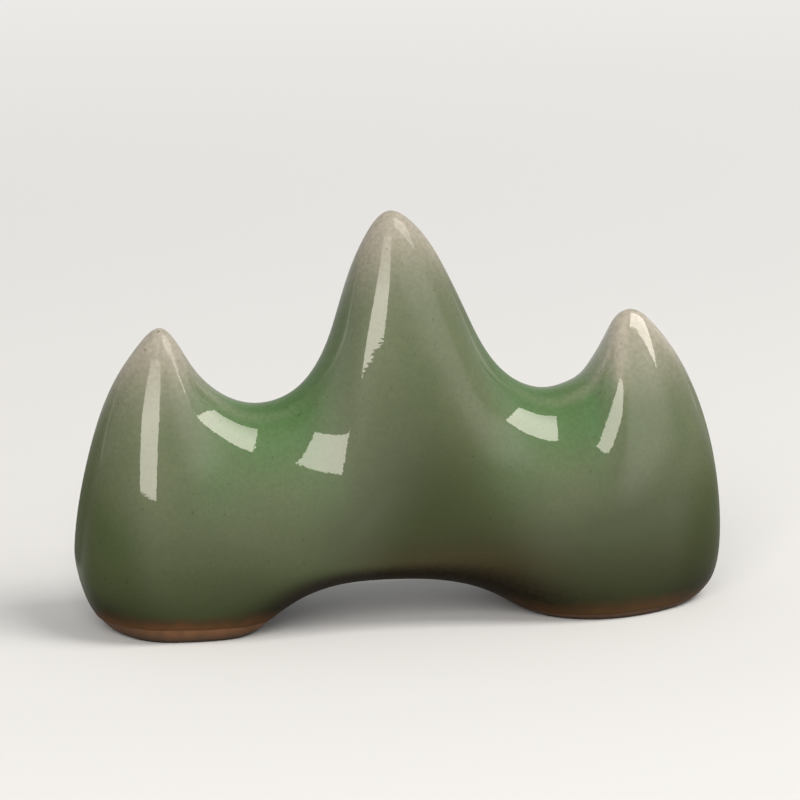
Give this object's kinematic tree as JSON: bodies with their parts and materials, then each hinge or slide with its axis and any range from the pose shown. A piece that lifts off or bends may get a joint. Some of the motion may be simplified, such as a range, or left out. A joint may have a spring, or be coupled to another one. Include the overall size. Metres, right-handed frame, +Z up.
{
  "type": "brush rest",
  "caption": "Mountain-shaped brush rest with rounded peaks, brush notches between them, an arched underside and two open feet; hollow glazed stoneware.",
  "frame": {"origin": "on the table, at the middle of the rest's length and depth", "axes": "+X along the row of peaks, towards the peak with the broader foot; +Y from the front to the back; +Z up"},
  "size_m": [0.1106, 0.0324, 0.0695],
  "materials": {
    "glaze": "glossy",
    "bare_stoneware": "matte"
  },
  "bodies": {
    "root": {"stoneware_body": "bare_stoneware", "celadon_glaze": "glaze"}
  },
  "joints": []
}
